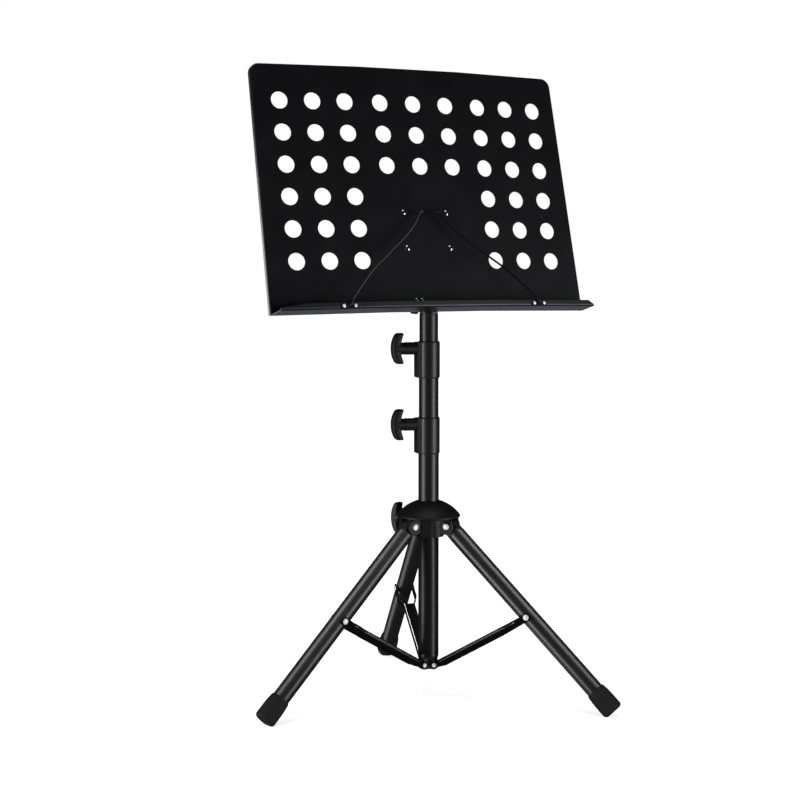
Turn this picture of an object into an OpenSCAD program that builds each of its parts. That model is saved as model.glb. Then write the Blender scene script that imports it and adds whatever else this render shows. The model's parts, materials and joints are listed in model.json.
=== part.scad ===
// Music stand: perforated folding-wing desk on a three-stage telescopic post and a tripod base.
// Millimetres, +Z up, the desk faces -Y, origin on the post axis at floor level.

/* [Post tubes] */
// Outer diameter of the lower tube
lower_od = 31; // [30:0.5:32]
// Wall thickness of every post tube
tube_wall = 0.6; // [0.6:0.05:0.75]
// Gap between one post tube and the next one inside it
tube_gap = 0.1; // [0.1:0.05:0.4]
// Height of the lower end of the lower tube
lower_bottom = 64.5; // [64.5:0.5:68]

/* [Collars] */
// Height of the top of the lower collar
lower_collar_top = 428.5; // [420:0.5:440]
// Height of the top of the upper collar
upper_collar_top = 543; // [535:0.5:548]
// Length of a collar along the post
collar_len = 55.5; // [50:0.5:60]
// Outer radius of a collar
collar_r = 16.8; // [16.4:0.1:18]
// Distance from the post axis to the flat of the collar's clamp block
block_reach = 20.2; // [20:0.1:23]
// Distance from the post axis to the end of the clamp boss
boss_reach = 37.8; // [36:0.1:40]
// Radius of the clamp boss
boss_r = 9.5; // [9:0.1:10]
// Direction of the two post knobs, in degrees from +X
post_knob_azimuth = 168; // [0:1:359]

/* [Knobs] */
// Length of a knob's wing bar
wing_len = 46.8; // [40:0.1:50]
// Width of a knob's wing bar
wing_width = 16; // [10:0.5:17]
// Diameter of the clamp bolts
bolt_d = 8; // [6:0.5:8]

/* [Tripod] */
// Direction of the rear leg, in degrees from +X
rear_azimuth = 75; // [65:1:78]
// Direction of the left leg, in degrees from +X
left_azimuth = 188; // [184:1:192]
// Direction of the front leg, in degrees from +X
front_azimuth = -52; // [-56:1:-48]
// Outer diameter of a leg tube
leg_od = 26; // [24:0.5:27]
// Angle of an open leg from the vertical, in degrees
leg_angle = 45.3; // [44:0.1:46.5]
// Distance from a leg's pivot to the end of its rubber foot
leg_reach = 367; // [366:0.5:369]
// Distance from the post axis to a leg pivot
leg_pivot_r = 34; // [33:0.5:36]
// Height of the leg pivots
leg_pivot_z = 265; // [264:0.5:266]
// Distance from a leg's pivot to its stay rivet, along the leg
stay_rivet_at = 180.8; // [175:0.1:186]
// Distance from the post axis to a stay's inner pivot
stay_pivot_r = 12.8; // [12.5:0.1:13.5]
// Height of the stays' inner pivots
stay_pivot_z = 50.7; // [50:0.1:51.5]

/* [Hub] */
// Radius of the domed hub cover
dome_r = 48; // [46:0.5:50]
// Direction of the hub knob, in degrees from +X
hub_knob_azimuth = 118; // [112:1:130]
// Height of the hub clamp bolt
hub_bolt_z = 271.5; // [271:0.1:272]

/* [Desk] */
// Width of the plate along its top edge
desk_top_w = 517; // [500:1:520]
// Width of the plate along its bottom edge
desk_bottom_w = 533; // [516:1:540]
// Height of the plate along its slope
desk_h = 375.5; // [372:0.5:388]
// Thickness of the plate
plate_t = 1; // [0.8:0.1:1.2]
// Depth of the returned rim on the sides and top
rim_depth = 9; // [7:0.5:12]
// Lean of the desk from the vertical, in degrees
desk_lean = 13.9; // [10:0.1:18]
// Angle by which each wing is folded back, in degrees
wing_fold = 3.2; // [0.5:0.1:5]
// Diameter of the desk's round holes
hole_d = 26; // [20:0.5:28]
// Distance between the rows of holes
row_pitch = 48.4; // [47:0.1:49]
// Distance between the columns of holes in a wing
wing_pitch = 51.8; // [48:0.1:53]
// Distance between the columns of holes in the middle
middle_pitch = 56; // [52:0.5:57]
// Distance from the middle to a wing's inner column of holes
inner_column = 114; // [110:0.5:116]
// Height of the lowest row of holes above the plate's bottom edge
first_row = 77.5; // [74:0.5:80]

/* [Ledge] */
// Depth of the ledge in front of the plate
ledge_depth = 36; // [30:1:45]
// Height of the ledge's front lip
lip_h = 8; // [6:0.5:10]
// Distance from the middle to a page holder's pivot
holder_s = 160; // [150:1:180]
// Diameter of the page holders' wire
wire_d = 3; // [2.5:0.1:3.5]

/* [Hidden] */
$fn = 64;

// A hair of overlap that joins two solids of one piece
join = 0.1;
// Radial clearance of a running fit
fit = 0.05;
// Gap between neighbours that move past each other
clear = 0.3;

black = "#1b1b1d";
soft_black = "#141416";
steel = "#c9cbce";
brass = "#b08d4a";
nylon = "#2c2c30";

// Post tube radii, from the lower tube inwards
lower_r = lower_od / 2;
lower_ir = lower_r - tube_wall;
mid_r = lower_ir - tube_gap;
mid_ir = mid_r - tube_wall;
upper_r = mid_ir - tube_gap;
upper_ir = upper_r - tube_wall;

// Heights along the post
lip_t = 4;
boss_drop = 10.6;
block_w = 20;
lower_tube_top = lower_collar_top - lip_t;
mid_tube_top = upper_collar_top - lip_t;
glide_len = 12;
glide_plug = 15;
mid_glide_z = 145;
upper_glide_z = 215;
upper_tube_top = 582;
lower_bolt_z = lower_collar_top - boss_drop;
upper_bolt_z = upper_collar_top - boss_drop;

// Clamp parts, measured outwards along a clamp's axis
pad_r = 4.5;
pad_t = 3;
insert_r = 6;
insert_len = 14;
bolt_r = bolt_d / 2;
bolt_grip = 12;
knob_neck = 6;
wing_t = 14;

// Tripod directions
leg_azimuths = [rear_azimuth, left_azimuth, front_azimuth];
leg_r = leg_od / 2;
leg_wall = 1;
leg_tube_start = 16;
foot_len = 41;
tongue_t = 16;
tongue_r = 11;
rivet_r = 3;
stay_rivet_r = 2.5;
stay_hole_r = 4.5;

// Stay geometry, worked out so that both its ends meet their rivets when the tripod is open
stay_out_r = leg_pivot_r + stay_rivet_at * sin(leg_angle);
stay_out_z = leg_pivot_z - stay_rivet_at * cos(leg_angle);
stay_len = norm([stay_out_r - stay_pivot_r, stay_out_z - stay_pivot_z]);
stay_rise = atan2(stay_out_z - stay_pivot_z, stay_out_r - stay_pivot_r);
stay_t = 1.5;
stay_in = 6.4;
stay_fork = leg_r + 0.4;
stay_up = 4.5;
stay_down = 8.5;
lug_half = 6.1;

// Hub
sleeve_r = 22;
hub_bottom = 249;
deck_z = 277;
deck_t = 4;
hub_body_r = 29;
cheek_out = 13.5;
cheek_end_r = 12;
hub_boss_r = 6.5;
hub_boss_end = 43;
dome_rim_z = 280;
dome_top_z = 302;
dome_hole_r = lower_r + 0.4;
dome_t = 2.2;
deck_r = dome_r - dome_t;

// Desk placement: the plate's front bottom edge, and the tilt axis behind it
root_y = -25.6;
root_z = 589;
tilt_y = 7;
tilt_z = 607;
crease = (middle_pitch + inner_column) / 2;
corner_r = 15;
ear_in = 7.3;
ear_t = 2.5;
ear_r = 12;
head_tongue_r = 11.5;
rivet_s = 36.5;
rivet_v = [96, 150.5];
bracket_t = 2;
bracket_half = 47;
strip_half = 16;
strip_v = 29;
flange_h = 24;
ledge_t = 1.2;
small_rivet_s = [-31.7, -22.3];
small_rivet_v = 17;
holder_v = 2.8;
saddle_t = 1.5;

// ---------- placement ----------

// Points a clamp's +X axis outwards at height z
module clamp_frame(azimuth, z) {
    rotate([0, 0, azimuth]) translate([0, 0, z]) children();
}

// A cylinder along +X from x1 to x2
module rod_x(r, x1, x2) {
    translate([x1, 0, 0]) rotate([0, 90, 0]) cylinder(r = r, h = x2 - x1);
}

// A hollow cylinder
module pipe(r, ir, z1, z2) {
    translate([0, 0, z1]) difference() {
        cylinder(r = r, h = z2 - z1);
        translate([0, 0, -1]) cylinder(r = ir, h = z2 - z1 + 2);
    }
}

// Leg frame: the origin is at the leg's pivot and +X runs down along the leg
module leg_frame(azimuth) {
    rotate([0, 0, azimuth]) translate([leg_pivot_r, 0, leg_pivot_z]) rotate([0, 90 - leg_angle, 0]) children();
}

// Stay frame: the origin is at the stay's inner pivot and +X runs out along the stay
module stay_frame(azimuth) {
    rotate([0, 0, azimuth]) translate([stay_pivot_r, 0, stay_pivot_z]) rotate([0, -stay_rise, 0]) children();
}

// Desk frame: +X along the ledge, +Y up the plate, +Z out of its front face
module desk_frame() {
    translate([0, root_y, root_z]) rotate([90 - desk_lean, 0, 0]) children();
}

// Wing frame: the desk frame turned about the crease, for the right wing
module wing_frame() {
    translate([crease, 0, 0]) rotate([0, wing_fold, 0]) children();
}

// The tilt axis, with +X along it
module tilt_frame() {
    translate([0, tilt_y, tilt_z]) children();
}

// A rivet shank with a low round head at each end, along Y and centred on the origin
module rivet(r, half, head_r, head_h) {
    rotate([90, 0, 0]) {
        translate([0, 0, -half]) cylinder(r = r, h = 2 * half);
        for (side = [0, 1]) mirror([0, 0, side]) translate([0, 0, half]) rivet_head(head_r, head_h);
    }
}

// A low round rivet head standing on the XY plane
module rivet_head(head_r, head_h) {
    ball_r = (head_r * head_r + head_h * head_h) / (2 * head_h);
    intersection() {
        translate([0, 0, head_h - ball_r]) sphere(r = ball_r);
        cylinder(r = head_r + 1, h = head_h + 1);
    }
}

// ---------- clamps ----------

// A collar for a tube of radius tube_r, guiding an inner tube of radius inner_r, top at z = 0
module collar(tube_r, inner_r) {
    chamfer = 1.2;
    difference() {
        union() {
            rotate_extrude() polygon([
                [0, -collar_len], [collar_r - chamfer, -collar_len], [collar_r, -collar_len + 2 * chamfer],
                [collar_r, -2 * chamfer], [collar_r - chamfer, 0], [0, 0]
            ]);
            rotate([90, 0, 0]) linear_extrude(height = block_w, center = true) polygon([
                [0, -collar_len + 1], [block_reach - chamfer, -collar_len + 1],
                [block_reach, -collar_len + 1 + chamfer], [block_reach, -1 - chamfer],
                [block_reach - chamfer, -1], [0, -1]
            ]);
            translate([0, 0, -boss_drop]) rod_x(boss_r, 5, boss_reach);
        }
        translate([0, 0, -collar_len - 1]) cylinder(r = tube_r, h = collar_len - lip_t + 1);
        translate([0, 0, -lip_t - 1]) cylinder(r = inner_r + fit, h = lip_t + 2);
        translate([0, 0, -boss_drop]) rod_x(pad_r + fit, 5, boss_reach - insert_len + 1);
        translate([0, 0, -boss_drop]) rod_x(insert_r, boss_reach - insert_len, boss_reach + 1);
    }
}

// The threaded insert in the end of a clamp boss
module insert(end) {
    difference() {
        rod_x(insert_r, end - insert_len, end);
        rod_x(bolt_r + fit, end - insert_len - 1, end + 1);
    }
}

// The pad that the bolt presses on a tube of radius r
module pad(r) {
    rod_x(pad_r, r + clear, r + clear + pad_t);
}

// A clamp bolt from the pad out into its knob
module bolt(tip, knob_start) {
    rod_x(bolt_r, tip, knob_start + bolt_grip);
}

// A wing knob whose neck starts at x and whose bar reaches back beside the boss by sweep
module knob(x, sweep, neck = knob_neck, bore = bolt_r) {
    half = wing_len / 2;
    bar_in = x + neck;
    difference() {
        union() {
            rod_x(8.2, x, bar_in + 4);
            rotate([90, 0, 0]) linear_extrude(height = wing_width, center = true) polygon([
                [bar_in, -12], [bar_in - sweep, -half + 1], [bar_in + 3, -half], [bar_in + 9, -17],
                [bar_in + wing_t - 1, -8], [bar_in + wing_t, 0], [bar_in + wing_t - 1, 8], [bar_in + 9, 17],
                [bar_in + 3, half], [bar_in - sweep, half - 1], [bar_in, 12]
            ]);
        }
        rod_x(bore, x - 1, x + bolt_grip);
    }
}

// ---------- post ----------

module lower_tube() {
    color(black) difference() {
        pipe(lower_r, lower_ir, lower_bottom, lower_tube_top);
        clamp_frame(post_knob_azimuth, lower_bolt_z) rod_x(pad_r + 0.5, 5, lower_r + 5);
    }
}

module lower_collar() {
    color(soft_black) clamp_frame(post_knob_azimuth, lower_collar_top) collar(lower_r, mid_r);
}

module lower_collar_insert() {
    color(brass) clamp_frame(post_knob_azimuth, lower_bolt_z) insert(boss_reach);
}

module lower_clamp_pad() {
    color(nylon) clamp_frame(post_knob_azimuth, lower_bolt_z) pad(mid_r);
}

module lower_knob() {
    color(soft_black) clamp_frame(post_knob_azimuth, lower_bolt_z) knob(boss_reach + 1, 4);
}

module lower_clamp_bolt() {
    color(steel) clamp_frame(post_knob_azimuth, lower_bolt_z) bolt(mid_r + pad_t + 2 * clear, boss_reach + 1);
}

module mid_tube() {
    color(black) difference() {
        pipe(mid_r, mid_ir, mid_glide_z + glide_len, mid_tube_top);
        clamp_frame(post_knob_azimuth, upper_bolt_z) rod_x(pad_r + 0.5, 5, mid_r + 5);
    }
}

// A guide bush pushed into the lower end of a sliding tube, running in the tube outside it
module glide(run_r, plug_r, z) {
    difference() {
        union() {
            translate([0, 0, z]) cylinder(r = run_r - fit, h = glide_len);
            translate([0, 0, z + glide_len - join]) cylinder(r = plug_r, h = glide_plug + join);
        }
        translate([0, 0, z - 1]) cylinder(r = plug_r - 2.5, h = glide_len + glide_plug + 2);
    }
}

module mid_tube_glide() {
    color(nylon) glide(lower_ir, mid_ir, mid_glide_z);
}

module upper_collar() {
    color(soft_black) clamp_frame(post_knob_azimuth, upper_collar_top) collar(mid_r, upper_r);
}

module upper_collar_insert() {
    color(brass) clamp_frame(post_knob_azimuth, upper_bolt_z) insert(boss_reach);
}

module upper_clamp_pad() {
    color(nylon) clamp_frame(post_knob_azimuth, upper_bolt_z) pad(upper_r);
}

module upper_knob() {
    color(soft_black) clamp_frame(post_knob_azimuth, upper_bolt_z) knob(boss_reach + 1, 4);
}

module upper_clamp_bolt() {
    color(steel) clamp_frame(post_knob_azimuth, upper_bolt_z) bolt(upper_r + pad_t + 2 * clear, boss_reach + 1);
}

module upper_tube() {
    color(black) pipe(upper_r, upper_ir, upper_glide_z + glide_len, upper_tube_top);
}

module upper_tube_glide() {
    color(nylon) glide(mid_ir, upper_ir, upper_glide_z);
}

// ---------- head ----------

spigot_r = 6;
bush_depth = 38;
bush_flange = 2;
head_base_z = upper_tube_top + bush_flange + clear;
head_base_h = 8.5;
head_base_r = 14;

module head_bush() {
    color(nylon) difference() {
        union() {
            translate([0, 0, upper_tube_top - bush_depth]) cylinder(r = upper_ir, h = bush_depth + join);
            translate([0, 0, upper_tube_top]) cylinder(r = upper_r, h = bush_flange);
        }
        translate([0, 0, upper_tube_top - bush_depth - 1]) cylinder(r = spigot_r + fit, h = bush_depth + 4);
    }
}

module tilt_head() {
    spigot_z = upper_tube_top - bush_depth - 5;
    groove_z = upper_tube_top - bush_depth - clear - 1.5;
    color(black) difference() {
        union() {
            translate([0, 0, spigot_z]) cylinder(r = spigot_r, h = head_base_z - spigot_z + join);
            translate([0, 0, head_base_z]) cylinder(r = head_base_r, h = head_base_h);
            translate([-7, tilt_y - head_tongue_r + 0.5, head_base_z + 2])
                cube([14, 2 * head_tongue_r - 1, tilt_z - head_base_z - 2]);
            tilt_frame() rod_x(head_tongue_r, -7, 7);
        }
        tilt_frame() rod_x(bolt_r + fit, -8, 8);
        pipe(spigot_r + 1, spigot_r - 1, groove_z, groove_z + 1.5);
    }
}

module head_retaining_ring() {
    groove_z = upper_tube_top - bush_depth - clear - 1.5;
    color(steel) pipe(spigot_r + 2.5, spigot_r - 1, groove_z + 0.2, groove_z + 1.3);
}

washer_t = 1;
washer_r = 8;
nut_t = 6;
ear_out = ear_in + ear_t;
tilt_knob_start = ear_out + washer_t + clear;

module tilt_knob() {
    color(soft_black) tilt_frame() rotate([0, 0, 180]) knob(tilt_knob_start, 0);
}

module tilt_bolt() {
    color(steel) tilt_frame() rod_x(bolt_r, -tilt_knob_start - bolt_grip, ear_out + washer_t + nut_t + 3);
}

module tilt_nut() {
    color(steel) tilt_frame() difference() {
        translate([ear_out + washer_t, 0, 0]) rotate([0, 90, 0]) cylinder(r = 7.5, h = nut_t, $fn = 6);
        rod_x(bolt_r + fit, 0, 30);
    }
}

module tilt_washers() {
    color(steel) tilt_frame() for (side = [0, 1]) mirror([side, 0, 0]) difference() {
        rod_x(washer_r, ear_out, ear_out + washer_t);
        rod_x(bolt_r + fit, 0, 30);
    }
}

// ---------- desk ----------

// Points of a quarter arc about c, from angle a1 to a1 + 90
function corner(c, r, a1) = [for (i = [0 : 8]) c + r * [cos(a1 + i * 90 / 8), sin(a1 + i * 90 / 8)]];

// Outline of the right wing, inset by e from its outer side and top
module wing_outline(e) {
    top_x = desk_top_w / 2 - crease;
    bottom_x = desk_bottom_w / 2 - crease;
    slant = (bottom_x - top_x) / desk_h;
    arc_c = [top_x + slant * corner_r - corner_r, desk_h - corner_r];
    polygon(concat(
        [[-2 * e, -2 * e], [bottom_x - e, -2 * e]],
        corner(arc_c, corner_r - e, 0),
        [[-2 * e, desk_h - e]]
    ));
}

// One wing: the sheet with its rim
module wing() {
    wing_frame() difference() {
        union() {
            translate([0, 0, -plate_t]) linear_extrude(height = plate_t) wing_outline(0);
            translate([0, 0, -rim_depth]) linear_extrude(height = rim_depth) difference() {
                wing_outline(0);
                wing_outline(plate_t);
            }
        }
        for (column = [0 : 2], row = [0 : 5])
            translate([inner_column - crease + column * wing_pitch, first_row + row * row_pitch, -plate_t - 1])
                cylinder(d = hole_d, h = plate_t + 2);
    }
}

module desk_plate() {
    color(black) desk_frame() difference() {
        union() {
            translate([-crease - 0.05, 0, -plate_t]) cube([2 * crease + 0.1, desk_h, plate_t]);
            translate([-crease - 0.3, desk_h - plate_t, -rim_depth]) cube([2 * crease + 0.6, plate_t, rim_depth]);
            wing();
            mirror([1, 0, 0]) wing();
        }
        for (column = [-1 : 1], row = [3 : 5])
            translate([column * middle_pitch, first_row + row * row_pitch, -plate_t - 1])
                cylinder(d = hole_d, h = plate_t + 2);
        for (side = [-1, 1], v = rivet_v) translate([side * rivet_s, v, -plate_t - 1]) cylinder(r = 2.5, h = 3);
        for (s = small_rivet_s) translate([s, small_rivet_v, -plate_t - 1]) cylinder(r = 1.6, h = 3);
    }
}

module desk_bracket() {
    color(black) desk_frame() difference() {
        union() {
            translate([-bracket_half, rivet_v[0] - 14, -plate_t - bracket_t])
                cube([2 * bracket_half, rivet_v[1] - rivet_v[0] + 28, bracket_t]);
            translate([-strip_half, strip_v, -plate_t - bracket_t])
                cube([2 * strip_half, rivet_v[0] - strip_v + join, bracket_t]);
            for (side = [0, 1]) mirror([side, 0, 0]) translate([ear_in, 0, 0]) ear();
        }
        for (side = [-1, 1], v = rivet_v) translate([side * rivet_s, v, -10]) cylinder(r = 2.5, h = 12);
    }
}

// The tilt axis in the desk frame, as distance up the plate and distance behind its front
tilt_v = (tilt_y - root_y) * sin(desk_lean) + (tilt_z - root_z) * cos(desk_lean);
tilt_back = (tilt_y - root_y) * cos(desk_lean) - (tilt_z - root_z) * sin(desk_lean);

// One ear of the bracket, a plate that stands off the back and carries the tilt bolt
module ear() {
    rotate([90, 0, 90]) difference() {
        linear_extrude(height = ear_t) union() {
            polygon([
                [strip_v, -plate_t - 0.5], [100, -plate_t - 0.5], [100, -plate_t - bracket_t - 3],
                [tilt_v + 8.5, -tilt_back - 8], [tilt_v - 8, -tilt_back + 8.5]
            ]);
            translate([tilt_v, -tilt_back]) circle(r = ear_r);
        }
        translate([tilt_v, -tilt_back, -1]) cylinder(r = bolt_r + fit, h = ear_t + 2);
    }
}

// A rivet through the desk, head in front, clench behind
module desk_rivet(r, depth, head_r, head_h) {
    translate([0, 0, -depth]) cylinder(r = r, h = depth);
    rivet_head(head_r, head_h);
    translate([0, 0, -depth]) mirror([0, 0, 1]) rivet_head(head_r, head_h);
}

module desk_rivets() {
    color(steel) desk_frame() for (side = [-1, 1], v = rivet_v)
        translate([side * rivet_s, v, 0]) desk_rivet(2.5, plate_t + bracket_t, 4.6, 1.8);
}

// A point of a line that runs along the ledge at n in front of the plate, in the wing's own length x
function along(x, n) = [crease + x * cos(wing_fold) + n * sin(wing_fold), n * cos(wing_fold) - x * sin(wing_fold)];

// Plan of a strip between n1 and n2 that follows the creases and ends at x1 and x2 in each wing
module strip(n1, n2, x1, x2) {
    turn = tan(wing_fold / 2);
    half = [[crease + n1 * turn, n1], along(x1, n1), along(x2, n2), [crease + n2 * turn, n2]];
    other = [for (i = [3 : -1 : 0]) [-half[i].x, half[i].y]];
    polygon(concat([half[0], half[1], half[2], half[3]], other));
}

module ledge() {
    end_x = desk_bottom_w / 2 - crease;
    front_x = end_x - 3;
    inner = ledge_depth - ledge_t;
    color(black) desk_frame() difference() {
        rotate([-90, 0, 0]) mirror([0, 1, 0]) union() {
            translate([0, 0, -ledge_t]) linear_extrude(height = flange_h + ledge_t)
                strip(-plate_t - ledge_t, -plate_t, end_x - 8, end_x - 8);
            translate([0, 0, -ledge_t]) linear_extrude(height = ledge_t)
                strip(-plate_t - ledge_t, ledge_depth, end_x, front_x);
            translate([0, 0, -ledge_t]) linear_extrude(height = lip_h + ledge_t)
                strip(inner, ledge_depth, front_x, front_x);
        }
        for (side = [0, 1]) mirror([side, 0, 0]) {
            translate([desk_bottom_w / 2 - 12, lip_h, ledge_depth / 2]) rotate([0, 0, -35]) cube([30, 20, 60]);
            saddle_place() saddle_holes();
        }
        for (s = small_rivet_s) translate([s, small_rivet_v, -10]) cylinder(r = 1.6, h = 12);
    }
}

module ledge_rivets() {
    color(steel) desk_frame() for (s = small_rivet_s)
        translate([s, small_rivet_v, 0]) desk_rivet(1.6, plate_t + ledge_t, 3, 1.2);
}

// ---------- page holders ----------

// Where the lip's front face lies at a holder's pivot
holder_x = (holder_s - crease - ledge_depth * sin(wing_fold)) / cos(wing_fold);
lip_front = along(holder_x, ledge_depth).y;
saddle_rivet_r = 1.5;
saddle_rivet_at = [-9, 9];

module holder_saddles() {
    color(black) desk_frame() for (side = [0, 1]) mirror([side, 0, 0]) saddle_place() difference() {
        translate([-13, -3.4, 0]) cube([26, 6.8, saddle_t]);
        saddle_holes();
    }
}

// The holder's bore and the two rivet holes, through saddle and lip
module saddle_holes() {
    translate([0, 0, -6]) cylinder(r = wire_d / 2 + fit, h = 12);
    for (d = saddle_rivet_at) translate([d, 0, -6]) cylinder(r = saddle_rivet_r, h = 12);
}

// The outer face of the lip at a holder's pivot, in the right half
module saddle_place() {
    translate([holder_s, holder_v, lip_front]) rotate([0, wing_fold, 0]) children();
}

module saddle_rivets() {
    color(steel) desk_frame() for (side = [0, 1]) mirror([side, 0, 0]) saddle_place()
        for (d = saddle_rivet_at) translate([d, 0, saddle_t])
            desk_rivet(saddle_rivet_r, saddle_t + ledge_t, 2.8, 1.2);
}

// Route of the right page holder from its peened end up to its hooked tip, as steps from the pivot
holder_route = [
    [0, 0, -3.6], [0, 0, -2.2], [0, 0, -1.8], [0, 0, 2.6], [-1.5, 2, 4], [-7, 10, 3.2],
    [-28, 33, -2], [-55, 60, -8], [-106, 101, -18], [-130, 124, -23], [-141, 141, -26],
    [-144.5, 145.5, -26.6], [-148, 146.2, -26.2], [-151, 143.5, -25]
];
peen_r = 2.1;
wire_sides = 12;

// A unit vector along the wire at point i, halfway between its two stretches
function unit(v) = v / norm(v);
function heading(route, i) = unit(
    (i > 0 ? unit(route[i] - route[i - 1]) : [0, 0, 0])
    + (i < len(route) - 1 ? unit(route[i + 1] - route[i]) : [0, 0, 0]));

// A ring of points of radius r about p, square to t
function ring(p, t, r) = let (
    across = [sqrt(0.5), sqrt(0.5), 0],
    u = unit(across - (across * t) * t),
    w = cross(t, u)
) [for (k = [0 : wire_sides - 1]) p + r * (cos(k * 360 / wire_sides) * u + sin(k * 360 / wire_sides) * w)];

module page_holder() {
    last = len(holder_route) - 1;
    rings = [for (i = [0 : last])
        ring(holder_route[i], heading(holder_route, i), i < 2 ? peen_r : wire_d / 2)];
    sides = [for (i = [0 : last - 1], k = [0 : wire_sides - 1])
        let (a = i * wire_sides + k, b = i * wire_sides + (k + 1) % wire_sides)
        each [[a, a + wire_sides, b], [b, a + wire_sides, b + wire_sides]]];
    start_cap = [for (k = [0 : wire_sides - 1]) k];
    end_cap = [for (k = [wire_sides - 1 : -1 : 0]) last * wire_sides + k];
    desk_frame() saddle_place()
        polyhedron(points = [for (r = rings) each r], faces = concat([start_cap, end_cap], sides));
}

module right_page_holder() {
    color(soft_black) page_holder();
}

module left_page_holder() {
    color(soft_black) mirror([1, 0, 0]) page_holder();
}

// ---------- hub ----------

module hub() {
    color(soft_black) difference() {
        union() {
            translate([0, 0, hub_bottom]) cylinder(r = hub_body_r, h = deck_z - hub_bottom + deck_t);
            translate([0, 0, deck_z]) cylinder(r = deck_r, h = deck_t);
            translate([0, 0, deck_z]) cylinder(r = sleeve_r, h = 18);
            for (a = leg_azimuths) rotate([0, 0, a]) cheeks();
            clamp_frame(hub_knob_azimuth, hub_bolt_z) rod_x(hub_boss_r, 20, hub_boss_end);
        }
        translate([0, 0, hub_bottom - 1]) cylinder(r = lower_r + fit, h = 60);
        for (a = leg_azimuths) rotate([0, 0, a]) {
            translate([sleeve_r, -tongue_t / 2 - clear, hub_bottom - 1])
                cube([40, tongue_t + 2 * clear, deck_z - hub_bottom + 1]);
            translate([leg_pivot_r, 0, leg_pivot_z]) rotate([90, 0, 0])
                cylinder(r = rivet_r, h = 60, center = true);
        }
        clamp_frame(hub_knob_azimuth, hub_bolt_z) {
            rod_x(pad_r + fit - 1, 10, hub_boss_end - 10);
            rod_x(5, hub_boss_end - 12, hub_boss_end + 1);
        }
    }
}

// The two cheeks that hold one leg, as one block before its slot is cut
module cheeks() {
    rotate([90, 0, 0]) linear_extrude(height = 2 * cheek_out, center = true) union() {
        translate([leg_pivot_r, leg_pivot_z]) circle(r = cheek_end_r);
        polygon([
            [10, leg_pivot_z - 9], [leg_pivot_r - 8, leg_pivot_z - 8.5], [leg_pivot_r + 11.5, leg_pivot_z],
            [dome_r - 5, deck_z + 1], [10, deck_z + 1]
        ]);
    }
}

// Ball that gives the dome its curve, through its rim and its top edge
dome_inner = 16;
dome_ball_z = (dome_top_z * dome_top_z - dome_rim_z * dome_rim_z + dome_inner * dome_inner - dome_r * dome_r)
    / (2 * (dome_top_z - dome_rim_z));
dome_ball_r = norm([dome_r, dome_rim_z - dome_ball_z]);

// Height of the dome's outer surface at radius r
function dome_z(r) = dome_ball_z + sqrt(dome_ball_r * dome_ball_r - r * r);

module hub_cover() {
    rings = 10;
    lip = 2.5;
    step = (deck_r - dome_hole_r) / rings;
    color(soft_black) rotate_extrude($fn = 96) polygon(concat(
        [for (i = [0 : rings]) [dome_hole_r + i * step, dome_z(dome_hole_r + i * step)]],
        [[dome_r, dome_rim_z], [dome_r, dome_rim_z - lip], [deck_r, dome_rim_z - lip]],
        [for (i = [rings : -1 : 0])
            [dome_hole_r + i * step, max(dome_z(dome_hole_r + i * step) - dome_t, deck_z + deck_t)]]
    ));
}

module leg_pivot_rivets() {
    color(steel) for (a = leg_azimuths) rotate([0, 0, a])
        translate([leg_pivot_r, 0, leg_pivot_z]) rivet(rivet_r, cheek_out, 5, 2);
}

hub_insert_r = 5;
hub_bolt_r = 3;

module hub_insert() {
    color(brass) clamp_frame(hub_knob_azimuth, hub_bolt_z) difference() {
        rod_x(hub_insert_r, hub_boss_end - 12, hub_boss_end);
        rod_x(hub_bolt_r + fit, 0, hub_boss_end + 1);
    }
}

module hub_clamp_pad() {
    color(nylon) clamp_frame(hub_knob_azimuth, hub_bolt_z) rod_x(pad_r - 1, lower_r + clear, lower_r + clear + pad_t);
}

hub_knob_start = dome_r + 1.2;

module hub_knob() {
    color(soft_black) clamp_frame(hub_knob_azimuth, hub_bolt_z) {
        knob(hub_knob_start, 0, neck = 2, bore = hub_bolt_r);
        difference() {
            rod_x(5.5, hub_boss_end + 1, hub_knob_start + join);
            rod_x(hub_bolt_r, hub_boss_end, hub_knob_start + 1);
        }
    }
}

module hub_clamp_bolt() {
    color(steel) clamp_frame(hub_knob_azimuth, hub_bolt_z)
        rod_x(hub_bolt_r, lower_r + pad_t + 2 * clear, hub_knob_start + bolt_grip);
}

// ---------- legs ----------

module leg_head(azimuth) {
    color(soft_black) leg_frame(azimuth) difference() {
        union() {
            rotate([90, 0, 0]) cylinder(r = tongue_r, h = tongue_t, center = true);
            translate([0, -tongue_t / 2, -tongue_r + 0.5]) cube([leg_tube_start, tongue_t, 2 * tongue_r - 1]);
            rod_x(leg_r - leg_wall, leg_tube_start - 2, leg_tube_start + 26);
        }
        rotate([90, 0, 0]) cylinder(r = rivet_r + fit, h = 40, center = true);
    }
}

module leg_tube(azimuth) {
    color(black) leg_frame(azimuth) difference() {
        rod_x(leg_r, leg_tube_start, leg_reach - 8);
        rod_x(leg_r - leg_wall, leg_tube_start - 1, leg_reach);
        translate([stay_rivet_at, 0, 0]) rotate([90, 0, 0]) cylinder(r = stay_hole_r, h = 60, center = true);
    }
}

// A rubber foot: a barrel cap on the tube's end, worn flat where it stands
module foot(azimuth) {
    start = leg_reach - foot_len;
    color(soft_black) difference() {
        leg_frame(azimuth) rotate([0, 90, 0]) rotate_extrude() polygon([
            [leg_r, start], [leg_r + 0.8, start], [leg_r + 1.6, start + 2], [leg_r + 3, start + 20],
            [leg_r + 3, leg_reach - 5], [leg_r + 1.6, leg_reach - 1.5], [leg_r - 2, leg_reach],
            [0, leg_reach], [0, leg_reach - 8], [leg_r, leg_reach - 8]
        ]);
        rotate([0, 0, azimuth]) translate([200, -50, -20]) cube([150, 100, 20]);
    }
}

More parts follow.
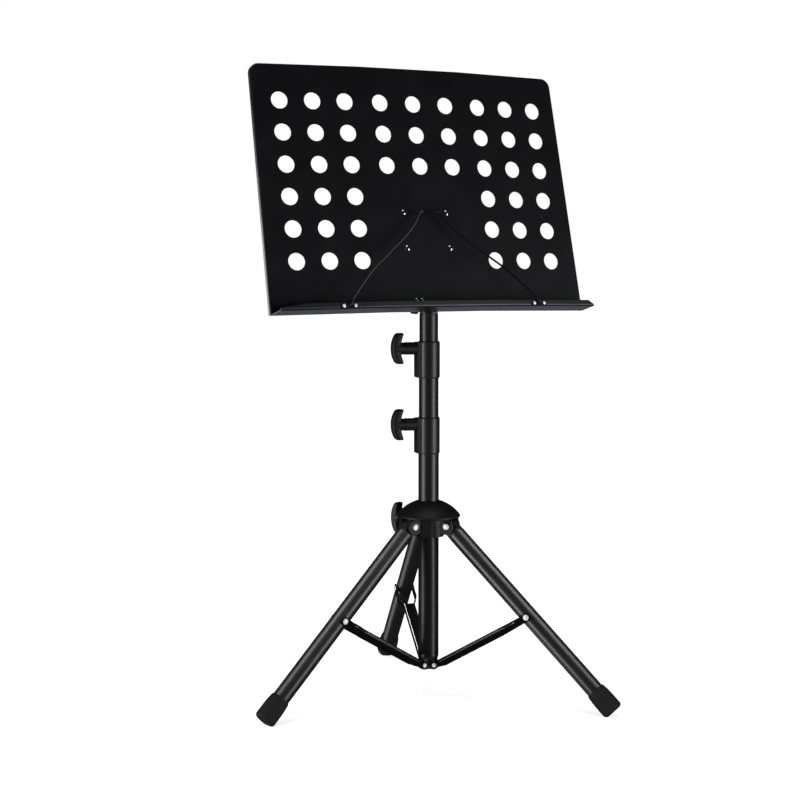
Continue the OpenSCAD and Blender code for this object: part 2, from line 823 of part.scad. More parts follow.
module rear_leg_head() { leg_head(rear_azimuth); }
module left_leg_head() { leg_head(left_azimuth); }
module front_leg_head() { leg_head(front_azimuth); }
module rear_leg_tube() { leg_tube(rear_azimuth); }
module left_leg_tube() { leg_tube(left_azimuth); }
module front_leg_tube() { leg_tube(front_azimuth); }
module rear_foot() { foot(rear_azimuth); }
module left_foot() { foot(left_azimuth); }
module front_foot() { foot(front_azimuth); }

// ---------- stays ----------

// One stay: a channel whose cheeks straddle the bracket's lug and fork round the leg
module stay(azimuth) {
    flare = stay_len - 42;
    fork = stay_len - 26;
    color(black) stay_frame(azimuth) difference() {
        intersection() {
            translate([0, 0, -20]) linear_extrude(height = 40) for (side = [0, 1]) mirror([0, side]) polygon([
                [-10, stay_in], [flare, stay_in], [fork, stay_fork], [stay_len + 10, stay_fork],
                [stay_len + 10, stay_fork + stay_t], [fork - 0.5, stay_fork + stay_t],
                [flare - 0.5, stay_in + stay_t], [-10, stay_in + stay_t]
            ]);
            side_outline();
        }
        for (x = [0, stay_len]) translate([x, 0, 0]) rotate([90, 0, 0])
            cylinder(r = x == 0 ? stay_rivet_r + fit : stay_rivet_r, h = 60, center = true);
    }
    color(black) stay_frame(azimuth) translate([20, -stay_in - join, stay_up - stay_t])
        cube([flare - 22, 2 * (stay_in + join), stay_t]);
}

// Side view of a stay, extruded across its whole width
module side_outline() {
    rotate([90, 0, 0]) linear_extrude(height = 60, center = true) union() {
        circle(r = stay_up);
        polygon([
            [0, -stay_up + 0.1], [18, -stay_down], [stay_len - 50, -stay_down], [stay_len - 12, -stay_up - 2],
            [stay_len, -6.4], [stay_len, 6.4], [stay_len - 12, stay_up], [0, stay_up - 0.02]
        ]);
        translate([stay_len, 0]) circle(r = 6.5);
    }
}

module stay_rivet(azimuth) {
    color(steel) stay_frame(azimuth) translate([stay_len, 0, 0]) rivet(stay_rivet_r, stay_fork + stay_t, 4.6, 2);
}

module rear_stay() { stay(rear_azimuth); }
module left_stay() { stay(left_azimuth); }
module front_stay() { stay(front_azimuth); }
module rear_stay_rivet() { stay_rivet(rear_azimuth); }
module left_stay_rivet() { stay_rivet(left_azimuth); }
module front_stay_rivet() { stay_rivet(front_azimuth); }

// ---------- bottom bracket ----------

module stay_bracket() {
    flange_z = lower_bottom - 2.2;
    lug_bottom = 43.5;
    color(soft_black) difference() {
        union() {
            translate([0, 0, flange_z]) cylinder(r = lower_r, h = lower_bottom - flange_z);
            translate([0, 0, flange_z + 1]) cylinder(r = lower_ir, h = 22);
            for (a = leg_azimuths) rotate([0, 0, a]) {
                translate([0, -lug_half, lug_bottom]) cube([stay_pivot_r, 2 * lug_half, flange_z - lug_bottom + 1]);
                translate([stay_pivot_r, 0, stay_pivot_z]) rotate([90, 0, 0])
                    cylinder(r = 5.5, h = 2 * lug_half, center = true);
            }
        }
        translate([0, 0, flange_z + 8]) cylinder(r = lower_ir - 3, h = 20);
        for (a = leg_azimuths) rotate([0, 0, a]) translate([stay_pivot_r, 0, stay_pivot_z])
            rotate([90, 0, 0]) cylinder(r = stay_rivet_r, h = 20, center = true);
    }
}

module stay_bracket_rivets() {
    color(steel) for (a = leg_azimuths) rotate([0, 0, a]) translate([stay_pivot_r, 0, stay_pivot_z])
        rivet(stay_rivet_r, stay_in + stay_t + clear, 3.6, 1.6);
}

lower_tube();
stay_bracket();
stay_bracket_rivets();
lower_collar();
lower_collar_insert();
lower_clamp_pad();
lower_knob();
lower_clamp_bolt();
mid_tube();
mid_tube_glide();
upper_collar();
upper_collar_insert();
upper_clamp_pad();
upper_knob();
upper_clamp_bolt();
upper_tube();
upper_tube_glide();
head_bush();
tilt_head();
head_retaining_ring();
tilt_knob();
tilt_bolt();
tilt_nut();
tilt_washers();
desk_bracket();
desk_rivets();
desk_plate();
ledge();
ledge_rivets();
holder_saddles();
saddle_rivets();
left_page_holder();
right_page_holder();
hub();
hub_cover();
leg_pivot_rivets();
hub_insert();
hub_clamp_pad();
hub_knob();
hub_clamp_bolt();
rear_leg_head();
rear_leg_tube();
rear_foot();
rear_stay();
rear_stay_rivet();
left_leg_head();
left_leg_tube();
left_foot();
left_stay();
left_stay_rivet();
front_leg_head();
front_leg_tube();
front_foot();
front_stay();
front_stay_rivet();
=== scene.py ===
"""The music stand's looks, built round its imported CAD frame. Lengths are millimetres unless a comment
says otherwise, and meshes are scaled to metres as they are made."""

import json
import math

import bmesh
import bpy
from mathutils import Matrix, Vector
from mathutils.geometry import delaunay_2d_cdt

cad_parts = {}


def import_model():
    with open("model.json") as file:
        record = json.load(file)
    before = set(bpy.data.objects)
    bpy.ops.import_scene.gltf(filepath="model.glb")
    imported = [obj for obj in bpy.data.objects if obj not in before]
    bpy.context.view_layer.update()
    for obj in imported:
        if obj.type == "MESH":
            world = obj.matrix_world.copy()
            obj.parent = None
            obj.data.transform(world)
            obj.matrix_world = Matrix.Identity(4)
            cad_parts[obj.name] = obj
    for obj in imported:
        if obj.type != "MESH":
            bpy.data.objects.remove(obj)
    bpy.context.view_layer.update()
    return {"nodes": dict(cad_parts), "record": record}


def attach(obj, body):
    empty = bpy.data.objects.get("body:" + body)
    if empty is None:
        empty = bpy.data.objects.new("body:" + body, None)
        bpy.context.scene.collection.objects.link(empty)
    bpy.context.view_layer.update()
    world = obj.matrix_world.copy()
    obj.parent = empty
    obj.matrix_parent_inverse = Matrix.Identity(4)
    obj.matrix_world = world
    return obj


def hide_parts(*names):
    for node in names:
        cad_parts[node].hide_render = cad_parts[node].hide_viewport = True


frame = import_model()
NODES = frame["nodes"]
SLOT_OF = {part["node"]: part["material_slot"] for part in frame["record"]["subparts"]}
BODIES = frame["record"]["behaviour"]["bodies"]
BODY_OF = {node: body for body, members in BODIES.items() for node in members}
MM = 0.001

# ---------- sizes shared with the CAD source ----------

POST_KNOB_AZIMUTH = math.radians(168)
HUB_KNOB_AZIMUTH = math.radians(118)
LOWER_BOLT_Z, UPPER_BOLT_Z, HUB_BOLT_Z = 417.9, 532.4, 271.5
POST_KNOB_START, HUB_KNOB_START, TILT_KNOB_START = 38.2, 49.2, 11.1
WING_LEN, WING_T, WING_W = 46.8, 14, 16
TILT_AXIS = Vector((0, 7, 607))
LEG_AZIMUTH = {"rear": math.radians(75), "left": math.radians(188), "front": math.radians(-52)}
LEG_ANGLE = math.radians(45.3)
LEG_PIVOT_R, LEG_PIVOT_Z = 34, 265
LEG_R, LEG_REACH, FOOT_LEN = 13, 367, 41
STAY_ROOT, STAY_RISE, STAY_LEN = Vector((12.8, 0, 50.7)), math.radians(30.2), 173.2
STAY_OUT, STAY_FORK_OUT = 7.9, 14.9
DESK_ROOT = Vector((0, -25.6, 589))
DESK_LEAN, WING_FOLD = math.radians(13.9), math.radians(3.2)
DESK_TOP_W, DESK_BOTTOM_W, DESK_H, CREASE, CORNER_R = 517, 533, 375.5, 85, 15
PLATE_T, RIM_DEPTH, BEND_R = 1, 9, 2.6
HOLE_R, FIRST_ROW, ROW_PITCH, ROWS, MIDDLE_ROWS = 13, 77.5, 48.4, 6, 3
WING_COLUMNS = [114 + 51.8 * i for i in range(3)]
MIDDLE_COLUMNS = [-56, 0, 56]
LEDGE_DEPTH, LEDGE_T, LIP_H, FLANGE_H = 36, 1.2, 8, 24
HOLDER_S, HOLDER_V, WIRE_R = 160, 2.8, 1.5


# ---------- placement ----------

def clamp_frame(azimuth, z):
    """+X points outwards along a clamp's axis at height z."""
    return Matrix.Translation((0, 0, z)) @ Matrix.Rotation(azimuth, 4, "Z")


def leg_frame(azimuth):
    """+X runs down along a leg from its pivot."""
    place = Matrix.Rotation(azimuth, 4, "Z") @ Matrix.Translation((LEG_PIVOT_R, 0, LEG_PIVOT_Z))
    return place @ Matrix.Rotation(math.pi / 2 - LEG_ANGLE, 4, "Y")


DESK = Matrix.Translation(DESK_ROOT) @ Matrix.Rotation(math.pi / 2 - DESK_LEAN, 4, "X")


def fold(point):
    """A point of the unfolded desk sheet, after both wings are folded back at their creases."""
    x, y, z = point
    side = math.copysign(1, x)
    run = abs(x) - CREASE
    if run <= 0:
        return Vector((x, y, z))
    c, s = math.cos(WING_FOLD), math.sin(WING_FOLD)
    return Vector((side * (CREASE + run * c + z * s), y, z * c - run * s))


# ---------- materials ----------

def graph(material):
    """Short ways to add a node to the material and to join two sockets."""
    tree = material.node_tree

    def add(kind, **values):
        node = tree.nodes.new(kind)
        for key, value in values.items():
            if key in node.inputs:
                node.inputs[key].default_value = value
            else:
                setattr(node, key, value)
        return node

    return add, tree.links.new


def noise(add, join, coordinates, scale, detail=3.0):
    node = add("ShaderNodeTexNoise", Scale=scale, Detail=detail)
    join(coordinates.outputs["Object"], node.inputs["Vector"])
    return node.outputs["Fac"]


def ramp(add, join, value, low, high, start=0.0, end=1.0):
    """Maps value from start..end to low..high."""
    node = add("ShaderNodeMapRange")
    join(value, node.inputs["Value"])
    for name, number in (("From Min", start), ("From Max", end), ("To Min", low), ("To Max", high)):
        node.inputs[name].default_value = number
    return node.outputs["Result"]


BROAD_PATCHES, FINE_PATCHES = 22.0, 420.0
WORN_FROM, WORN_TO = 0.60, 0.75


def coated(name, colour, roughness, grain, bump, wear=0.0, metallic=0.0, specular=0.5, spread=0.04):
    """A finish with colour and roughness that vary, a fine surface grain and edges that wear lighter.
    grain and the two sizes of patch are noise scales to a metre, bump is the grain's height in metres,
    and WORN_FROM and WORN_TO say how sharp an edge is, as Pointiness, where wear sets in and is full."""
    material = bpy.data.materials.new(name)
    material.use_nodes = True
    add, join = graph(material)
    shader = material.node_tree.nodes["Principled BSDF"]
    shader.inputs["Metallic"].default_value = metallic
    shader.inputs["Specular IOR Level"].default_value = specular
    coordinates = add("ShaderNodeTexCoord")
    broad = noise(add, join, coordinates, BROAD_PATCHES)
    fine = noise(add, join, coordinates, FINE_PATCHES, 5.0)

    dark = add("ShaderNodeMix", data_type="RGBA")
    join(ramp(add, join, broad, 0.0, 1.0, 0.3, 0.7), dark.inputs["Factor"])
    dark.inputs["A"].default_value = [c * 0.82 for c in colour] + [1]
    dark.inputs["B"].default_value = [min(1, c * 1.18) for c in colour] + [1]

    geometry = add("ShaderNodeNewGeometry")
    worn = add("ShaderNodeMath", operation="MULTIPLY")
    sharp = geometry.outputs["Pointiness"]
    join(ramp(add, join, sharp, 0.0, wear, WORN_FROM, WORN_TO), worn.inputs[0])
    join(ramp(add, join, fine, 0.0, 1.0, 0.42, 0.62), worn.inputs[1])
    edge = add("ShaderNodeMix", data_type="RGBA")
    join(worn.outputs["Value"], edge.inputs["Factor"])
    join(dark.outputs["Result"], edge.inputs["A"])
    edge.inputs["B"].default_value = [min(1, c * 1.5 + 0.16) for c in colour] + [1]
    join(edge.outputs["Result"], shader.inputs["Base Color"])

    uneven = add("ShaderNodeMath", operation="ADD")
    join(ramp(add, join, broad, -spread, spread, 0.3, 0.7), uneven.inputs[0])
    low, high = roughness - spread / 2, roughness + spread / 2
    join(ramp(add, join, fine, low, high, 0.3, 0.7), uneven.inputs[1])
    join(uneven.outputs["Value"], shader.inputs["Roughness"])

    relief = add("ShaderNodeBump", Strength=1.0, Distance=bump)
    join(noise(add, join, coordinates, grain, 2.0), relief.inputs["Height"])
    join(relief.outputs["Normal"], shader.inputs["Normal"])
    return material


MATERIALS = {
    "tube_black": coated("tube_black", (0.004, 0.004, 0.005), 0.37, 1400, 0.000003, spread=0.01),
    "desk_black": coated("desk_black", (0.0025, 0.0025, 0.004), 0.36, 1200, 0.000005, wear=0.1,
                         spread=0.02),
    "bracket_black": coated("bracket_black", (0.003, 0.003, 0.004), 0.34, 900, 0.00001, specular=0.4),
    "moulded_black": coated("moulded_black", (0.004, 0.004, 0.005), 0.50, 1500, 0.00004, specular=0.3),
    "nylon_black": coated("nylon_black", (0.010, 0.010, 0.011), 0.42, 600, 0.00002),
    "rubber_black": coated("rubber_black", (0.006, 0.006, 0.007), 0.75, 1100, 0.0001, specular=0.3),
    "wire_black": coated("wire_black", (0.005, 0.005, 0.006), 0.25, 900, 0.00001, wear=0.1),
    # rivet_steel is pale and only partly metallic. Part of its whiteness is the plated steel's own
    # brightness, and part is a painted highlight: a diffuse white that makes the rivet heads look lit all
    # over.
    "rivet_steel": coated("rivet_steel", (0.93, 0.93, 0.94), 0.40, 500, 0.00001, metallic=0.4),
    "zinc_steel": coated("zinc_steel", (0.62, 0.63, 0.66), 0.30, 700, 0.00002, metallic=1.0),
    "insert_brass": coated("insert_brass", (0.68, 0.50, 0.22), 0.30, 700, 0.00002, metallic=1.0),
}
POLISHED = coated("rivet_polished", (0.42, 0.42, 0.44), 0.14, 500, 0.000004, metallic=1.0, spread=0.02)
SATIN = coated("collar_satin", (0.005, 0.005, 0.006), 0.40, 1500, 0.00001, spread=0.02)
OWN_FINISH = {"desk_rivets": POLISHED, "ledge_rivets": POLISHED,
              "lower_collar": SATIN, "upper_collar": SATIN}


# ---------- mesh helpers ----------

def finish_piece(mesh_builder, name, node, place=Matrix.Identity(4), stands=True):
    """Turns a bmesh in millimetres into a piece that rides with the node's body. It takes the node's
    place too, unless stands is False, which leaves the node visible beside it."""
    bmesh.ops.recalc_face_normals(mesh_builder, faces=mesh_builder.faces)
    bmesh.ops.transform(mesh_builder, matrix=Matrix.Scale(MM, 4) @ place, verts=mesh_builder.verts)
    mesh = bpy.data.meshes.new(name)
    mesh_builder.to_mesh(mesh)
    mesh_builder.free()
    mesh.materials.append(MATERIALS[SLOT_OF[node]])
    mesh.shade_smooth()
    piece = bpy.data.objects.new(name, mesh)
    bpy.context.scene.collection.objects.link(piece)
    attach(piece, BODY_OF[node])
    if stands:
        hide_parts(node)
    return piece


def modify(piece, kind, **values):
    modifier = piece.modifiers.new(kind.title(), kind)
    for key, value in values.items():
        setattr(modifier, key, value)


def soften(piece, width, angle=35):
    """Rounds the piece's sharp edges by width, and keeps its flats flat in the shading."""
    modify(piece, "BEVEL", width=width * MM, segments=2, limit_method="ANGLE",
           angle_limit=math.radians(angle), use_clamp_overlap=True)
    modify(piece, "WEIGHTED_NORMAL", weight=100)


def loft(mesh_builder, rings):
    """A closed body of quads between rings that all have the same number of points."""
    made = [[mesh_builder.verts.new(point) for point in ring] for ring in rings]
    for low, high in zip(made, made[1:]):
        for i in range(len(low)):
            j = (i + 1) % len(low)
            mesh_builder.faces.new((low[i], low[j], high[j], high[i]))
    mesh_builder.faces.new(list(reversed(made[0])))
    mesh_builder.faces.new(made[-1])


def lathe(mesh_builder, profile, segments=64):
    """A closed body of revolution about X. profile is a closed loop of (x, r) points."""
    made = []
    for i in range(segments):
        turn = 2 * math.pi * i / segments
        ring = [(x, r * math.cos(turn), r * math.sin(turn)) for x, r in profile]
        made.append([mesh_builder.verts.new(point) for point in ring])
    for a in range(segments):
        b = (a + 1) % segments
        for i in range(len(profile)):
            j = (i + 1) % len(profile)
            mesh_builder.faces.new((made[a][i], made[a][j], made[b][j], made[b][i]))
    bmesh.ops.remove_doubles(mesh_builder, verts=mesh_builder.verts, dist=1e-4)
    bmesh.ops.dissolve_degenerate(mesh_builder, edges=mesh_builder.edges, dist=1e-5)


def arc(centre, radius, start, end, steps=6):
    """Points of an arc from start to end in degrees, both included."""
    angles = [math.radians(start + (end - start) * i / steps) for i in range(steps + 1)]
    return [(centre[0] + radius * math.cos(a), centre[1] + radius * math.sin(a)) for a in angles]


# ---------- CAD nodes that stay ----------

USUAL_ROUND = 0.35
EDGE_ROUND = {"lower_collar": 0.8, "upper_collar": 0.8, "hub": 0.9, "stay_bracket": 0.7,
              "tilt_head": 0.8, "rear_stay": 0.7, "left_stay": 0.7, "front_stay": 0.7}


def dress(node):
    """Gives a CAD node its finish and, on its sharp edges, a small round."""
    piece = NODES[node]
    material = OWN_FINISH.get(node, MATERIALS[SLOT_OF[node]])
    if not piece.material_slots:
        piece.data.materials.append(material)
    for slot in piece.material_slots:
        slot.material = material
    piece.data.shade_smooth()
    modify(piece, "WELD", merge_threshold=0.00002)
    modify(piece, "DECIMATE", decimate_type="DISSOLVE", angle_limit=math.radians(1.0))
    soften(piece, EDGE_ROUND.get(node, USUAL_ROUND))


# ---------- knobs ----------

# How far the bow's outer face falls away at its tips, the share of its half length where a tip starts
# to close, how much it shrinks there, and the power that squares its section.
CROWN_DROP = 7.5
TIP_FROM, TIP_SHRINK = 0.88, 0.55
SQUARENESS = 0.6
NECK_R, NECK_END_R, NECK_ROOT_R, NECK_EDGE = 8.2, 9.2, 9.6, 0.8


def squared(value):
    """A cosine or sine bent so that a circle becomes a rounded square."""
    return math.copysign(abs(value) ** SQUARENESS, value)


def wing_ring(z, bow_in, sweep, sides=32):
    """One section of a knob's bow at height z. sweep is how far its tips lean back to the post."""
    reach = abs(z) / (WING_LEN / 2)
    outer = bow_in + WING_T + 0.5 - CROWN_DROP * reach ** 2.4
    inner = bow_in + 1 - (sweep + 2) * reach ** 1.5
    end = math.sqrt(max(0.0, 1 - max(0.0, (reach - TIP_FROM) / (1 - TIP_FROM)) ** 2.4))
    fullness = 1 - TIP_SHRINK + TIP_SHRINK * end
    thick = (outer - inner) / 2 * fullness
    wide = (WING_W / 2 + 0.4 * (1 - reach ** 2)) * fullness
    middle = (outer + inner) / 2
    turns = [2 * math.pi * k / sides for k in range(sides)]
    return [(middle + thick * squared(math.cos(a)), wide * squared(math.sin(a)), z) for a in turns]


def knob(node, place, start, neck, sweep, bore_r):
    """A moulded wing knob: a round neck that grows into a thick bow with a convex outer face. Along
    the clamp's axis, the neck begins at start and the bow a neck's length further out."""
    bow_in = start + neck
    shape = bmesh.new()
    steps = 28
    heights = [WING_LEN / 2 * math.sin((-1 + 2 * i / steps) * math.pi / 2) for i in range(steps + 1)]
    loft(shape, [wing_ring(z, bow_in, sweep) for z in heights])
    rounded = arc((start + NECK_EDGE, NECK_R), NECK_EDGE, 180, 90, 3)[1:]
    lathe(shape, [(start, bore_r), (start, NECK_R)] + rounded
          + [(bow_in - 1, NECK_END_R), (bow_in + 5, NECK_ROOT_R), (bow_in + 5, bore_r)], 48)
    piece = finish_piece(shape, node + "_moulding", node, place)
    modify(piece, "REMESH", mode="VOXEL", voxel_size=0.55 * MM, use_smooth_shade=True)
    modify(piece, "SMOOTH", factor=0.5, iterations=7)


TILT_KNOB_PLACE = Matrix.Translation(TILT_AXIS) @ Matrix.Rotation(math.pi, 4, "Z")


# ---------- hub cover ----------

def hub_cover():
    """The domed moulding over the hub, with a rolled rim. The dome is part of a ball that passes
    through its rim and its top edge."""
    rim_r, rim_z, top_r, top_z = 48, 280, 16, 302
    hole_r, wall, lowest_inside, steps = 15.9, 2.2, 281, 22
    ball_z = (top_z ** 2 - rim_z ** 2 + top_r ** 2 - rim_r ** 2) / (2 * (top_z - rim_z))
    ball_r = math.hypot(rim_r, rim_z - ball_z)

    def height(r):
        return ball_z + math.sqrt(ball_r ** 2 - r ** 2)

    def radii(start, end):
        return [start + (end - start) * i / steps for i in range(steps + 1)]

    outside = [(height(r), r) for r in radii(hole_r + 0.8, rim_r - 1.2)]
    rim = [(rim_z + 0.1, rim_r - 0.25), (rim_z - 0.4, rim_r), (rim_z - 1.9, rim_r),
           (rim_z - 2.5, rim_r - 0.4), (rim_z - 2.5, rim_r - wall)]
    inside = [(max(height(r) - wall, lowest_inside), r) for r in radii(rim_r - wall, hole_r)]
    hole_edge = (height(hole_r) - 0.7, hole_r)
    shape = bmesh.new()
    lathe(shape, outside + rim + inside + [hole_edge], 128)
    upright = Matrix.Rotation(-math.pi / 2, 4, "Y")
    piece = finish_piece(shape, "hub_cover_moulding", "hub_cover", upright)
    modify(piece, "WEIGHTED_NORMAL", weight=100)


# ---------- feet ----------

def foot(name, azimuth):
    """A barrel-shaped rubber foot, worn flat where it stands."""
    start, end = LEG_REACH - FOOT_LEN, LEG_REACH
    bore_r, mouth_r, barrel_r = LEG_R + 0.05, LEG_R + 1.6, LEG_R + 3.0
    swell_from, swell_len, steps, floor_t = start + 2, 17, 6, 8
    profile = [(start + 0.6, bore_r), (start, LEG_R + 0.6), (start + 0.5, LEG_R + 1.2),
               (swell_from, mouth_r)]
    for i in range(1, steps + 1):
        rise = math.sin(math.pi / 2 * i / steps)
        profile.append((swell_from + swell_len * i / steps, mouth_r + (barrel_r - mouth_r) * rise))
    profile += [(end - 6, barrel_r)]
    profile += arc((end - 5, LEG_R - 2), 5, 85, 0, 8)
    profile += [(end, LEG_R - 4), (end - 0.8, LEG_R - 4.6), (end - 0.8, 0), (end - floor_t, 0),
                (end - floor_t, bore_r)]
    shape = bmesh.new()
    lathe(shape, profile, 72)
    bmesh.ops.transform(shape, matrix=leg_frame(azimuth), verts=shape.verts)
    cut = bmesh.ops.bisect_plane(shape, geom=shape.verts[:] + shape.edges[:] + shape.faces[:],
                                 plane_co=(0, 0, 0), plane_no=(0, 0, -1), clear_outer=True)
    rim = [e for e in cut["geom_cut"] if isinstance(e, bmesh.types.BMEdge)]
    bmesh.ops.holes_fill(shape, edges=rim)
    finish_piece(shape, name + "_moulding", name)


# ---------- stays ----------

# Along the stay: where its bead runs and where the stay flares out into its fork. Across it: how deep
# the bead's middle sits in the cheek, its half sizes, and how far above the stay's line it lies.
BEAD_START, BEAD_END = 9, STAY_LEN - 20
FLARE_START, FLARE_END = STAY_LEN - 42, STAY_LEN - 26
BEAD_SUNK, BEAD_DEPTH, BEAD_HALF_W, BEAD_LIFT = 0.3, 1.5, 2.2, 0.8


def bead_ring(side, share, sides=20):
    """One section of a bead, at a share of its length. Its size swells quickly from a fine tip."""
    x = BEAD_START + (BEAD_END - BEAD_START) * share
    swell = max(0.05, math.sin(math.pi * share)) ** 0.3
    spread = min(1, max(0, (x - FLARE_START) / (FLARE_END - FLARE_START)))
    y = STAY_OUT + (STAY_FORK_OUT - STAY_OUT) * spread - BEAD_SUNK
    turns = [2 * math.pi * k / sides for k in range(sides)]
    return [(x, side * (y + BEAD_DEPTH * swell * math.cos(a)), BEAD_LIFT + BEAD_HALF_W * swell * math.sin(a))
            for a in turns]


def stay_bead(name, azimuth):
    """The long raised bead on the outside of each of a stay's two cheeks."""
    shape = bmesh.new()
    steps = 40
    for side in (-1, 1):
        loft(shape, [bead_ring(side, i / steps) for i in range(steps + 1)])
    place = (Matrix.Rotation(azimuth, 4, "Z") @ Matrix.Translation(STAY_ROOT)
             @ Matrix.Rotation(-STAY_RISE, 4, "Y"))
    return finish_piece(shape, name + "_bead", name, place, stands=False)


# ---------- desk ----------

def sheet_line(inset, depth):
    """The plate's outline without its bottom edge, from the lower right round to the lower left."""
    top_x, bottom_x = DESK_TOP_W / 2, DESK_BOTTOM_W / 2
    slant = (bottom_x - top_x) / DESK_H
    centre = (top_x + slant * CORNER_R - CORNER_R, DESK_H - CORNER_R)
    corner = arc(centre, CORNER_R - inset, 0, 90, 10)
    right = [(bottom_x - inset, 0)] + corner + [(CREASE, DESK_H - inset)]
    line = right + [(-x, y) for x, y in reversed(right)]
    return [(x, y, -depth) for x, y in line]


def hole_centres():
    """Full columns of holes on both wings, and only the top rows between the creases."""
    rows = [FIRST_ROW + ROW_PITCH * i for i in range(ROWS)]
    wings = [(side * x, y) for side in (-1, 1) for x in WING_COLUMNS for y in rows]
    return wings + [(x, y) for x in MIDDLE_COLUMNS for y in rows[-MIDDLE_ROWS:]]


def sheet_face(shape):
    """The flat of the plate with its holes, as triangles between the outline and the circles."""
    border = [(x, y) for x, y, _ in sheet_line(BEND_R, 0)]
    border += [(-CREASE, 0), (CREASE, 0)]
    points = [Vector(p) for p in border]
    edges = [(i, (i + 1) % len(border)) for i in range(len(border))]
    for side in (-1, 1):
        ends = [i for i, p in enumerate(border) if p[0] == side * CREASE]
        edges.append(tuple(ends))
    sides = 40
    for x, y in hole_centres():
        first = len(points)
        points += [Vector(p) for p in arc((x, y), HOLE_R, 0, 360 * (sides - 1) / sides, sides - 1)]
        edges += [(first + i, first + (i + 1) % sides) for i in range(sides)]
    found, _, triangles, *_ = delaunay_2d_cdt(points, edges, [], 1, 1e-5)
    made = [shape.verts.new((p.x, p.y, 0)) for p in found]
    for triangle in triangles:
        centre = sum((found[i] for i in triangle), Vector((0, 0))) / len(triangle)
        if all((centre - Vector(c)).length > HOLE_R * 0.99 for c in hole_centres()):
            shape.faces.new([made[i] for i in triangle])
    loose = [v for v in shape.verts if not v.link_faces]
    bmesh.ops.delete(shape, geom=loose, context="VERTS")


def desk_plate():
    """The pressed desk sheet: flat face, round holes and a rim bent back along the sides and top."""
    shape = bmesh.new()
    sheet_face(shape)
    rings = []
    for angle in range(0, 91, 15):
        a = math.radians(angle)
        rings.append(sheet_line(BEND_R * (1 - math.sin(a)), BEND_R * (1 - math.cos(a))))
    rings.append(sheet_line(0, RIM_DEPTH))
    made = [[shape.verts.new(p) for p in ring] for ring in rings]
    for near, far in zip(made, made[1:]):
        for i in range(len(near) - 1):
            shape.faces.new((near[i], far[i], far[i + 1], near[i + 1]))
    bmesh.ops.remove_doubles(shape, verts=shape.verts, dist=0.02)
    for vertex in shape.verts:
        vertex.co = fold(vertex.co)
    piece = finish_piece(shape, "desk_sheet", "desk_plate", DESK)
    face_front(piece, (0, -1, 0))
    modify(piece, "SOLIDIFY", thickness=PLATE_T * MM, offset=-1)
    soften(piece, 0.22, angle=50)
    return piece


def face_front(piece, direction):
    """Turns all faces over if the sheet on the whole faces away from the direction."""
    mesh = piece.data
    total = sum((p.normal * p.area for p in mesh.polygons), Vector())
    if total.dot(Vector(direction)) < 0:
        mesh.flip_normals()


# How far from the ledge's left (-1) and right (1) end its lip starts to slope down, and how steeply.
LIP_TAPER = {-1: 42, 1: 12}
LIP_SLOPE = {-1: math.radians(7.8), 1: math.radians(35)}


def ledge():
    """The ledge: one bent sheet with a flange behind the plate, a floor and a front lip. Its section is
    a path of (n, v) points, n out of the plate and v up it. The lip's two ends are cut to a slope."""
    inner = LEDGE_DEPTH - LEDGE_T
    back_bend, front_bend = 0.5, 1.8
    path = [(-PLATE_T, FLANGE_H)]
    path += arc((-PLATE_T + back_bend, back_bend), back_bend, 180, 270, 3)
    path += [(inner / 2, 0)]
    path += arc((inner - front_bend, front_bend), front_bend, -90, 0, 6)
    path += [(inner, LIP_H)]
    half = DESK_BOTTOM_W / 2
    front_inset, flange_inset = 3, 8
    shape = bmesh.new()
    rows = []
    for n, v in path:
        on_flange = v > 1 and n < 0
        inset = flange_inset if on_flange else front_inset * max(0, n) / LEDGE_DEPTH
        crease = Vector((CREASE + n * math.tan(WING_FOLD / 2), v, n))
        right = [crease, fold((half - inset, v, n))]
        rows.append([Vector((-p.x, p.y, p.z)) for p in reversed(right)] + right)
    made = [[shape.verts.new(p) for p in row] for row in rows]
    for a, b in zip(made, made[1:]):
        for i in range(3):
            shape.faces.new((a[i], a[i + 1], b[i + 1], b[i]))
    for side in (-1, 1):
        front = [f for f in shape.faces if all(v.co.z > LEDGE_DEPTH / 2 for v in f.verts)]
        parts = list({g for f in front for g in (f, *f.edges, *f.verts)})
        slope = LIP_SLOPE[side]
        bmesh.ops.bisect_plane(shape, geom=parts, clear_outer=True,
                               plane_co=(side * (half - LIP_TAPER[side]), LIP_H, 0),
                               plane_no=(side * math.sin(slope), math.cos(slope), 0))
    piece = finish_piece(shape, "ledge_sheet", "ledge", DESK)
    face_front(piece, (0, 0, 1))
    modify(piece, "SOLIDIFY", thickness=LEDGE_T * MM, offset=-1)
    soften(piece, 0.3, angle=50)
    return piece


# ---------- page holders ----------

def saddle_place(side):
    """The outer face of the lip at a page holder's pivot, with +Z out of it."""
    run = (HOLDER_S - CREASE - LEDGE_DEPTH * math.sin(WING_FOLD)) / math.cos(WING_FOLD)
    pivot = fold((CREASE + run, HOLDER_V, LEDGE_DEPTH))
    right = DESK @ Matrix.Translation(pivot) @ Matrix.Rotation(WING_FOLD, 4, "Y")
    return right if side > 0 else Matrix.Scale(-1, 4, (1, 0, 0)) @ right


# The wire's middle line from its peened end to the tip of its hook. From the pivot, the axes run away
# from the desk's middle, up the plate, and out of the lip.
HOLDER_ROUTE = [(0, 0, -3.6), (0, 0, -1), (0, 0, 2), (-1.5, 2, 4), (-7, 10, 3.2), (-17, 21.5, 0.7),
                (-28, 33, -2), (-41, 47.5, -5.3), (-55, 60, -8), (-68, 70, -10.5), (-88, 86.5, -14.5),
                (-106, 101, -18), (-118, 112, -20.6), (-130, 124, -23), (-136, 133, -24.6),
                (-141, 141, -26), (-144.5, 145.2, -26.6), (-148, 146.2, -26.2), (-151, 143.5, -25)]


